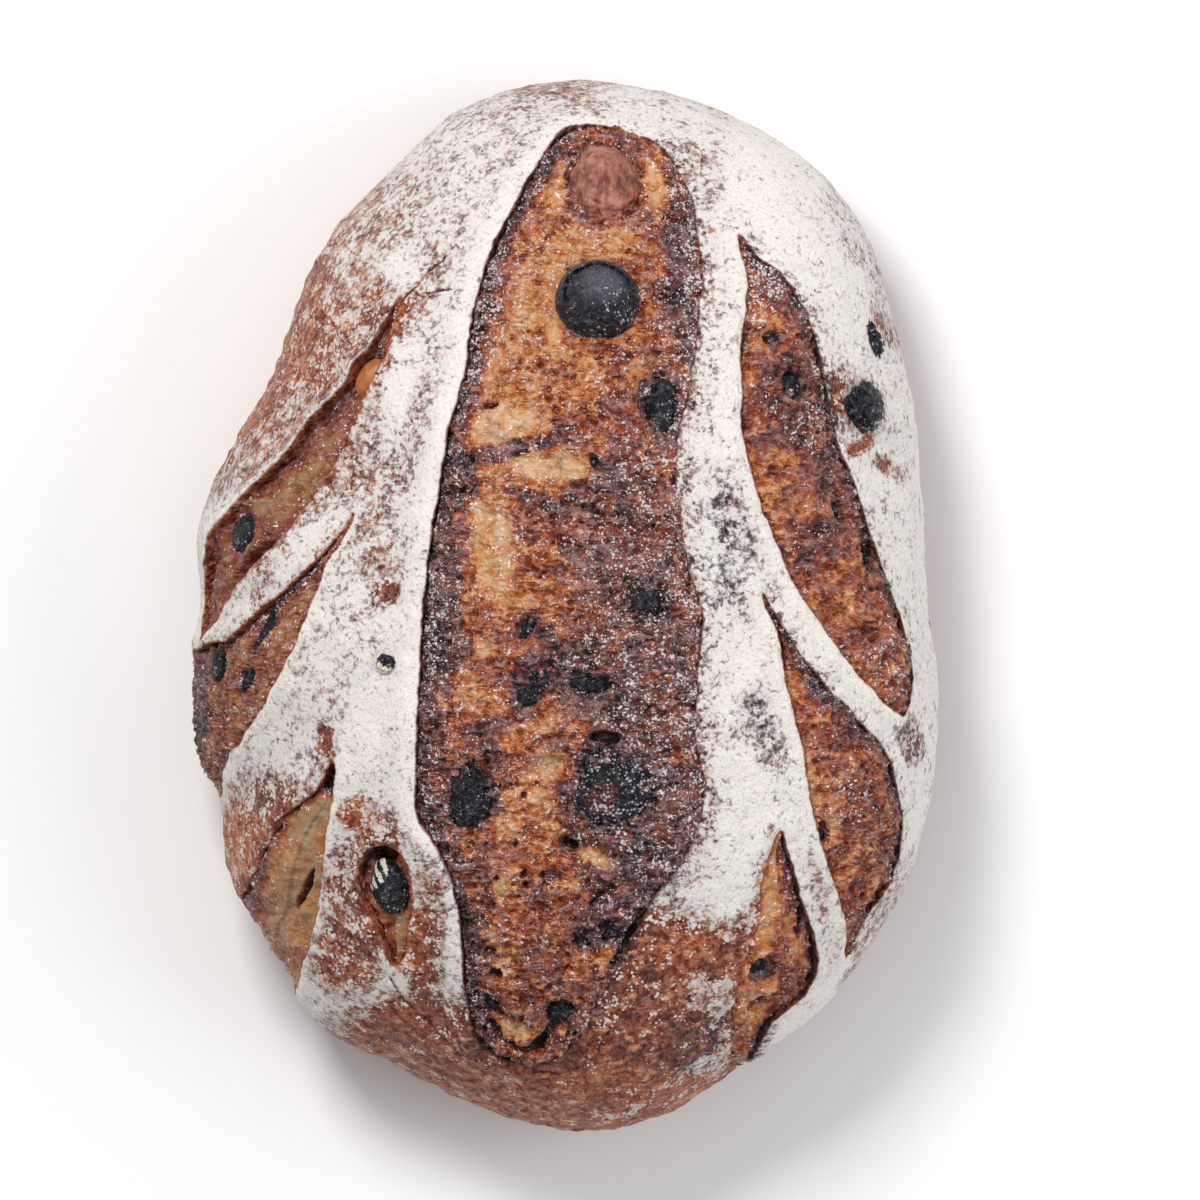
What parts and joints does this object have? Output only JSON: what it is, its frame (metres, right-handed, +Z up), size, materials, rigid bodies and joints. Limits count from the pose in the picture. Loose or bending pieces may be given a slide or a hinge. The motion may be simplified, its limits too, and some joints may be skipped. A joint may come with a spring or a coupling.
{
  "type": "sourdough loaf",
  "caption": "Oval hearth-baked sourdough loaf with a floured crust, long opened slashes, and dried fruit and nuts that show in the crumb.",
  "frame": {"origin": "on the supporting surface, under the middle of the loaf's bounding box", "axes": "+X across the loaf, +Y along its length, +Z up from the flat base"},
  "size_m": [0.1583, 0.2184, 0.0829],
  "materials": {
    "crust": "baked crust, matte, dusted with flour",
    "dried_fruit": "dark dried fruit, glossy where bare and dusted with flour elsewhere",
    "nut": "toasted nut skin, matte"
  },
  "bodies": {
    "root": {"loaf": "crust", "almond_upper_left": "nut", "berry_burst": "dried_fruit", "berry_crown": "dried_fruit", "currant_centre": "dried_fruit", "currant_end_ball": "dried_fruit", "currant_end_slant": "dried_fruit", "currant_in_skin": "dried_fruit", "currant_left": "dried_fruit", "currant_left_fork": "dried_fruit", "currant_lower_pair_a": "dried_fruit", "currant_lower_pair_b": "dried_fruit", "currant_lower_right_a": "dried_fruit", "currant_lower_right_b": "dried_fruit", "currant_middle_right": "dried_fruit", "currant_right_lip": "dried_fruit", "currant_upper_right": "dried_fruit", "hazelnut_top": "nut", "raisin_centre_slant": "dried_fruit", "raisin_centre_sliver": "dried_fruit", "raisin_edge": "dried_fruit", "raisin_left_edge": "dried_fruit", "raisin_left_side": "dried_fruit", "raisin_left_slant": "dried_fruit", "raisin_pit": "dried_fruit", "raisin_right_shoulder": "dried_fruit", "raisin_right_side": "dried_fruit", "raisin_under_skin": "dried_fruit", "raisin_upper_left": "dried_fruit"}
  },
  "joints": []
}
